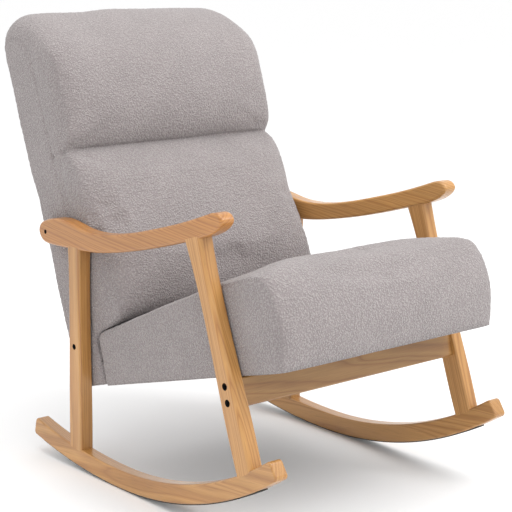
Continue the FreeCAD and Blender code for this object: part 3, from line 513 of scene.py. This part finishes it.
def loft(name, section):
    """A closed skin through the outline that section(x) gives at each slice across the chair."""
    mesh = bmesh.new()
    crowded = np.sin(np.linspace(-math.pi / 2, math.pi / 2, SLICES))
    stations = PANEL_HALF * (EVEN_SHARE * np.linspace(-1, 1, SLICES) + (1 - EVEN_SHARE) * crowded)
    rings = [[mesh.verts.new(p) for p in section(x)] for x in stations]
    for near, far in zip(rings, rings[1:]):
        for i in range(len(near)):
            j = (i + 1) % len(near)
            mesh.faces.new((near[i], near[j], far[j], far[i]))
    mesh.faces.new(rings[0][::-1])
    mesh.faces.new(rings[-1])
    bmesh.ops.recalc_face_normals(mesh, faces=mesh.faces)
    data = bpy.data.meshes.new(name)
    mesh.to_mesh(data)
    mesh.free()
    piece = bpy.data.objects.new(name, data)
    scene.collection.objects.link(piece)
    return piece


def apply_modifiers(piece):
    """Replace the piece's mesh by what its modifiers make of it."""
    shaped = bpy.data.meshes.new_from_object(piece.evaluated_get(bpy.context.evaluated_depsgraph_get()))
    piece.modifiers.clear()
    old = piece.data
    piece.data = shaped
    bpy.data.meshes.remove(old)


def points_of(piece):
    flat = np.empty(len(piece.data.vertices) * 3)
    piece.data.vertices.foreach_get("co", flat)
    return flat.reshape(-1, 3)


def set_points(piece, points):
    piece.data.vertices.foreach_set("co", np.ascontiguousarray(points).ravel())
    piece.data.update()


def facing_of(piece):
    flat = np.empty(len(piece.data.vertices) * 3)
    piece.data.vertices.foreach_get("normal", flat)
    return flat.reshape(-1, 3)


def distance_to(points, line):
    """Each point's distance from a seam, given as a closely stepped line."""
    tree = KDTree(len(line))
    for index, p in enumerate(line):
        tree.insert(p, index)
    tree.balance()
    return np.array([tree.find(p)[2] for p in points])


def swell(piece, seams, cap):
    """Blow the cushion up as cloth held at its seams, and keep each point within cap of where it was."""
    before = points_of(piece)
    near = distance_to(before, seams)
    held = piece.vertex_groups.new(name="seam")
    for index in np.nonzero(near < SEAM_HOLD)[0]:
        held.add([int(index)], 1.0, "REPLACE")
    cloth = piece.modifiers.new("Cloth", "CLOTH")
    cloth.settings.use_pressure = True
    cloth.settings.uniform_pressure_force = PRESSURE
    cloth.settings.vertex_group_mass = "seam"
    cloth.settings.effector_weights.gravity = 0
    cloth.settings.quality = 4
    cloth.settings.tension_stiffness = 18
    cloth.settings.compression_stiffness = 18
    cloth.settings.bending_stiffness = 4.0
    cloth.point_cache.frame_start = 1
    cloth.point_cache.frame_end = SIM_FRAMES
    for step in range(1, SIM_FRAMES + 1):
        scene.frame_set(step)
    apply_modifiers(piece)
    scene.frame_set(1)
    piece.vertex_groups.clear()
    moved = points_of(piece) - before
    length = np.linalg.norm(moved, axis=1, keepdims=True)
    set_points(piece, before + moved * np.minimum(1, cap / np.maximum(length, 1e-9)))


def remesh_and_soften(piece):
    """Give the piece an even mesh that cloth can be made of."""
    remesh = piece.modifiers.new("Remesh", "REMESH")
    remesh.mode = "VOXEL"
    remesh.voxel_size = VOXEL
    apply_modifiers(piece)
    soften = piece.modifiers.new("Smooth", "SMOOTH")
    soften.factor = 0.5
    soften.iterations = 2
    apply_modifiers(piece)


def subdivide(piece):
    divide = piece.modifiers.new("Subdivision", "SUBSURF")
    divide.levels = 1
    divide.render_levels = 1
    apply_modifiers(piece)


def sink_seam(piece, line, depth, width, ends=1.0):
    """Pull the skin in along a seam. ends is the share of the depth that is left at the cushion's sides."""
    points = points_of(piece)
    fade = 1 - (1 - ends) * rise(abs(points[:, 0]), SEAM_FADE * PANEL_HALF, PANEL_HALF)
    pull = depth * fade * np.exp(-(distance_to(points, line) / width) ** 2)
    set_points(piece, points - facing_of(piece) * pull[:, None])


def raise_pile(piece, wave, slack, seed):
    """Lumps of the curled pile, and uneven stuffing of height slack over a hand's width, as real shape."""
    points = points_of(piece)
    shift = Vector((seed, 2 * seed, 3 * seed))
    out = np.array([PILE_HEIGHT * noise.noise(Vector(p) / PILE_LUMP + shift)
                    + slack * noise.noise(Vector(p) / wave + shift) for p in points])
    set_points(piece, points + facing_of(piece) * out[:, None])


def spread_sides(piece, free):
    """Fill the sides out by free's share of the bulge, and stop at the timber elsewhere."""
    points = points_of(piece)
    limit = PANEL_LIMIT + SIDE_BULGE * free
    across = points[:, 0] * (1 + free * SIDE_BULGE / PANEL_HALF)
    points[:, 0] = np.clip(across, -limit, limit)
    set_points(piece, points)


# forward, up at the side seam, rise of the crown in the middle
seat_profile = [(0.004, 0.0, 0), (0.0, 0.006, 0), (0.0, 0.050, 0), (0.001, 0.095, 0), (0.012, 0.105, 0.008),
                (0.070, 0.112, 0.013), (0.150, 0.123, 0.015), (0.250, 0.138, 0.015), (0.365, 0.155, 0.016),
                (0.450, 0.164, 0.018), (0.520, 0.168, 0.020), (0.557, 0.162, 0.018), (0.576, 0.134, 0.010),
                (0.583, 0.096, 0.002), (0.582, 0.066, 0), (0.575, 0.035, 0), (0.567, 0.010, 0),
                (0.560, 0.0, 0)]


def seat_point(forward, up, x):
    return seat_corner + seat_forward * forward + seat_up * up + Vector((x, 0, 0))


def seat_section(x):
    u = abs(x) / PANEL_HALF
    crown = max(0.0, 1 - u ** SEAT_SQUARENESS) ** SEAT_SHOULDER
    outline = smooth_loop(seat_profile, 6)
    forward, up, extra = outline[:, 0], outline[:, 1], outline[:, 2]
    forward = forward - corner_drop(x, PANEL_HALF, SEAT_CORNER) * rise(forward, *SEAT_ROUNDS)
    forward = forward + SEAT_FRONT_SWELL * crown * rise(forward, *SEAT_SWELLS)
    return [seat_point(f, h, x) for f, h in zip(forward, up + extra * crown)]


def edge_seams(section):
    """Both side panels' seams: the outline at each end of the loft, closely stepped and closed."""
    both = []
    for x in (-PANEL_HALF, PANEL_HALF):
        corners = section(x)
        for start, end in zip(corners, corners[1:] + corners[:1]):
            steps = max(1, int((end - start).length / SEAM_STEP))
            both += [start.lerp(end, k / steps) for k in range(steps)]
    return both


def along(points, corner, way):
    """How far each point lies from the corner, measured along way."""
    return (points - np.array(corner)) @ np.array(way)


def draw_underside_level(piece):
    """Pull the cover tight across the boards underneath, where the cloth sags or stands up between them."""
    points = points_of(piece)
    height = along(points, seat_corner, seat_up)
    lift = UNDERSIDE_UP - height
    sagging = (facing_of(piece) @ np.array(seat_up) < -0.5) & (height < UNDERSIDE_REACH)
    points += np.array(seat_up) * np.where(sagging, lift, np.clip(lift, 0, None))[:, None]
    set_points(piece, points)


def cover(piece, material):
    """Put one material on the whole cushion and shade it smooth."""
    piece.data.materials.clear()
    piece.data.materials.append(material)
    piece.data.polygons.foreach_set("use_smooth", [True] * len(piece.data.polygons))


seat = loft("seat_cushion", seat_section)
seat_seams = edge_seams(seat_section)
remesh_and_soften(seat)
swell(seat, seat_seams, cap=SEAT_SWELL_CAP)
subdivide(seat)
sink_seam(seat, seat_seams, SEAM_DEPTH, SEAM_WIDTH)
raise_pile(seat, wave=0.085, slack=0.0028, seed=4.2)
draw_underside_level(seat)
seat_length = along(points_of(seat), seat_corner, seat_forward)
spread_sides(seat, rise(seat_length, LEG_FRONT, LEG_FRONT + LEG_EASE))
cover(seat, fleece)
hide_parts("seat_cover", "seat_foam")
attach(seat, "root")


# ---- Back cushion ----
# A tall boxed cushion on its own frame, in the same fleece. The front is one panel, sewn down in a deep
# crease between a lower pad, which thickens towards the seat, and a puffed headrest that rolls over the top.
# The rear is flat.

back_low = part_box("back_cover")[0]
back_rake = math.radians(20.0)
BACK_BEHIND_SEAT = 0.096
back_corner = Vector((0, seat_corner.y + BACK_BEHIND_SEAT, back_low.z))
back_up = Vector((0, math.sin(back_rake), math.cos(back_rake)))
back_forward = Vector((0, -math.cos(back_rake), math.sin(back_rake)))
SIDE_DEPTH = 0.097
PAD_SQUARENESS = 10       # how nearly the front pads keep their full depth out to the sides
TOP_CORNER = 0.052        # radius of the top corners, seen from the front
TOP_ROUNDS = (0.62, 0.78)     # where up the back the corners set in, and where they are full
CREASE_UP = 0.470
CREASE_OUT = 0.041        # how far the crease stands in front of the side seams
CREASE_DEPTH = 0.0110
CREASE_WIDTH = 0.0058
CREASE_ENDS = 0.40        # share of its depth that is left at the side seams
BACK_SWELL_CAP = 0.008
ARM_TOP = 0.530           # height over the floor at which the back is clear of the armrests
ARM_EASE = 0.070          # length over which the sides fill out above them

# up, forward at the side seam, further forward in the middle
back_profile = [(0.002, -0.002, 0), (0.0, 0.050, 0), (0.001, 0.095, 0), (0.050, SIDE_DEPTH, 0),
                (0.088, SIDE_DEPTH, 0.002), (0.101, SIDE_DEPTH, 0.044), (0.118, SIDE_DEPTH, 0.100),
                (0.150, SIDE_DEPTH, 0.124), (0.200, SIDE_DEPTH, 0.131), (0.260, SIDE_DEPTH, 0.125),
                (0.320, SIDE_DEPTH, 0.112), (0.380, SIDE_DEPTH, 0.096), (0.430, SIDE_DEPTH, 0.080),
                (0.459, SIDE_DEPTH, 0.060), (CREASE_UP, SIDE_DEPTH, CREASE_OUT), (0.481, SIDE_DEPTH, 0.060),
                (0.500, SIDE_DEPTH, 0.076), (0.545, SIDE_DEPTH, 0.087), (0.590, SIDE_DEPTH, 0.090),
                (0.635, SIDE_DEPTH, 0.087), (0.680, 0.096, 0.077), (0.716, 0.094, 0.056),
                (0.748, 0.088, 0.033), (0.771, 0.074, 0.014), (0.785, 0.052, 0.003), (0.787, 0.030, 0),
                (0.777, 0.008, 0), (0.755, -0.002, 0), (0.700, -0.003, 0), (0.500, -0.003, 0),
                (0.300, -0.003, 0), (0.100, -0.003, 0)]


def back_point(up, forward, x):
    return back_corner + back_up * up + back_forward * forward + Vector((x, 0, 0))


def pad_crown(x):
    """The share of the pads' fullness at x, from 1 in the middle to 0 at the side seams."""
    return max(0.0, 1 - (abs(x) / PANEL_HALF) ** PAD_SQUARENESS) ** (1 / PAD_SQUARENESS)


def back_section(x):
    outline = smooth_loop(back_profile, 4)
    up, forward, extra = outline[:, 0], outline[:, 1], outline[:, 2]
    up = up - corner_drop(x, PANEL_HALF, TOP_CORNER) * rise(up, *TOP_ROUNDS)
    return [back_point(h, f, x) for h, f in zip(up, forward + extra * pad_crown(x))]


def crease_line():
    stations = np.linspace(-PANEL_HALF, PANEL_HALF, int(2 * PANEL_HALF / SEAM_STEP))
    return [back_point(CREASE_UP, SIDE_DEPTH + CREASE_OUT * pad_crown(x), x) for x in stations]


def rest_on_seat(piece, support):
    """Lift what would lie inside the seat, so that the lower pad sits on the seat's top."""
    cell = 0.006          # the seat's top is taken as a height for each square of this side
    gap = 0.0012
    lowest = 0.045        # what lies lower than this over the seat's underside is the back's hidden foot
    under = points_of(support)
    top = {}
    for f, h, x in zip(along(under, seat_corner, seat_forward),
                       along(under, seat_corner, seat_up), under[:, 0]):
        key = (round(f / cell), round(x / cell))
        top[key] = max(top.get(key, 0.0), h)
    moved = points_of(piece)
    forward = along(moved, seat_corner, seat_forward)
    height = along(moved, seat_corner, seat_up)
    for index in np.nonzero((forward > 0.0) & (height > lowest))[0]:
        clear = top.get((round(forward[index] / cell), round(moved[index, 0] / cell)), 0.0) + gap
        if height[index] < clear:
            moved[index] += np.array(seat_up) * (clear - height[index])
    set_points(piece, moved)


back = loft("back_cushion", back_section)
back_seams = edge_seams(back_section)
crease = crease_line()
remesh_and_soften(back)
swell(back, back_seams + crease, cap=BACK_SWELL_CAP)
subdivide(back)
sink_seam(back, back_seams, SEAM_DEPTH, SEAM_WIDTH)
sink_seam(back, crease, CREASE_DEPTH, CREASE_WIDTH, ends=CREASE_ENDS)
raise_pile(back, wave=0.095, slack=0.0030, seed=9.1)
rest_on_seat(back, seat)
spread_sides(back, rise(points_of(back)[:, 2], ARM_TOP, ARM_TOP + ARM_EASE))
cover(back, fleece)
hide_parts("back_cover", "lumbar_foam", "headrest_foam", "back_wadding")
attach(back, "root")


# ---- Underside ----
# A black non-woven sheet closes the seat's underside. It is stapled along its four edges with wire staples,
# of which only the slightly bowed crowns show.

sheet_half = 0.2360
sheet_rear, sheet_front = 0.028, 0.520    # measured along the seat
sheet_drop = 0.00015
columns, rows = 48, 50
sheet_points = []
for row in range(rows + 1):
    for column in range(columns + 1):
        forward = sheet_rear + (sheet_front - sheet_rear) * row / rows
        across = sheet_half * (2 * column / columns - 1)
        sheet_points.append(seat_point(forward, -sheet_drop, across))
sheet_faces = []
for row in range(rows):
    for column in range(columns):
        start = row * (columns + 1) + column
        sheet_faces.append((start, start + 1, start + columns + 2, start + columns + 1))
sheet_mesh = bpy.data.meshes.new("seat_underside_sheet")
sheet_mesh.from_pydata(sheet_points, [], sheet_faces)
sheet_mesh.materials.append(woven("black_non_woven", "#1C1C1F", 0.0012, 0.0003))
sheet_piece = bpy.data.objects.new("seat_underside_sheet", sheet_mesh)
scene.collection.objects.link(sheet_piece)
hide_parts("seat_dust_sheet")
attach(sheet_piece, "root")


def staples_along(metal):
    """A tree that lays bowed wires end to end along a flat line, and its sizes' sockets by name."""
    tree = bpy.data.node_groups.new("staples", "GeometryNodeTree")
    tree.interface.new_socket("Line", in_out="INPUT", socket_type="NodeSocketGeometry")
    sockets = {name: tree.interface.new_socket(name, in_out="INPUT", socket_type="NodeSocketFloat").identifier
               for name in ("Wire", "Crown", "Spacing")}
    tree.interface.new_socket("Staples", in_out="OUTPUT", socket_type="NodeSocketGeometry")
    given = put(tree, "NodeGroupInput")
    wire, crown = given.outputs["Wire"], given.outputs["Crown"]
    line = put(tree, "GeometryNodeMeshToCurve", inputs={"Mesh": given.outputs["Line"]})
    stops = put(tree, "GeometryNodeCurveToPoints", {"mode": "LENGTH"},
                {"Curve": line.outputs[0], "Length": given.outputs["Spacing"]})
    turn = put(tree, "FunctionNodeAlignRotationToVector", {"axis": "X", "pivot_axis": "Z"},
               {"Vector": stops.outputs["Tangent"]})
    half_crown = put(tree, "ShaderNodeMath", {"operation": "MULTIPLY"}, {0: crown, 1: 0.5})
    other_half = put(tree, "ShaderNodeMath", {"operation": "MULTIPLY"}, {0: crown, 1: -0.5})
    half_wire = put(tree, "ShaderNodeMath", {"operation": "MULTIPLY"}, {0: wire, 1: 0.5})
    dip = put(tree, "ShaderNodeMath", {"operation": "DIVIDE"}, {0: wire, 1: -3.0})
    start = put(tree, "ShaderNodeCombineXYZ", inputs={"X": other_half.outputs[0], "Z": wire})
    middle = put(tree, "ShaderNodeCombineXYZ", inputs={"Z": dip.outputs[0]})
    end = put(tree, "ShaderNodeCombineXYZ", inputs={"X": half_crown.outputs[0], "Z": wire})
    bow = put(tree, "GeometryNodeCurveArc", {"mode": "POINTS"},
              {"Resolution": 9, "Start": start.outputs[0], "Middle": middle.outputs[0],
               "End": end.outputs[0]})
    around = put(tree, "GeometryNodeCurvePrimitiveCircle",
                 inputs={"Resolution": 8, "Radius": half_wire.outputs[0]})
    crown_wire = put(tree, "GeometryNodeCurveToMesh", inputs={"Curve": bow.outputs[0], "Fill Caps": True,
                                                              "Profile Curve": around.outputs[0]})
    laid = put(tree, "GeometryNodeInstanceOnPoints",
               inputs={"Points": stops.outputs["Points"], "Instance": crown_wire.outputs[0],
                       "Rotation": turn.outputs[0]})
    real = put(tree, "GeometryNodeRealizeInstances", inputs={"Geometry": laid.outputs[0]})
    metalled = put(tree, "GeometryNodeSetMaterial", inputs={"Geometry": real.outputs[0], "Material": metal})
    put(tree, "NodeGroupOutput", inputs={"Staples": metalled.outputs[0]})
    return tree, sockets


staple_edge = 0.006       # from the sheet's edge to the staples
staple_sizes = {"Wire": 0.0009, "Crown": 0.010, "Spacing": 0.034}
side_way = sheet_half - staple_edge
rear_way, front_way = sheet_rear + staple_edge, sheet_front - staple_edge
corners = [(-side_way, rear_way, 0), (side_way, rear_way, 0), (side_way, front_way, 0),
           (-side_way, front_way, 0)]
edge_mesh = bpy.data.meshes.new("sheet_edge")
edge_mesh.from_pydata(corners, [(0, 1), (1, 2), (2, 3), (3, 0)], [])
staples = bpy.data.objects.new("sheet_staples", edge_mesh)
scene.collection.objects.link(staples)
staple_tree, staple_sockets = staples_along(zinc_steel)
lay = staples.modifiers.new("Staples", "NODES")
lay.node_group = staple_tree
for name, value in staple_sizes.items():
    lay[staple_sockets[name]] = value
apply_modifiers(staples)
set_points(staples, [seat_point(y, z - 2 * sheet_drop, x) for x, y, z in points_of(staples)])
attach(staples, "root")
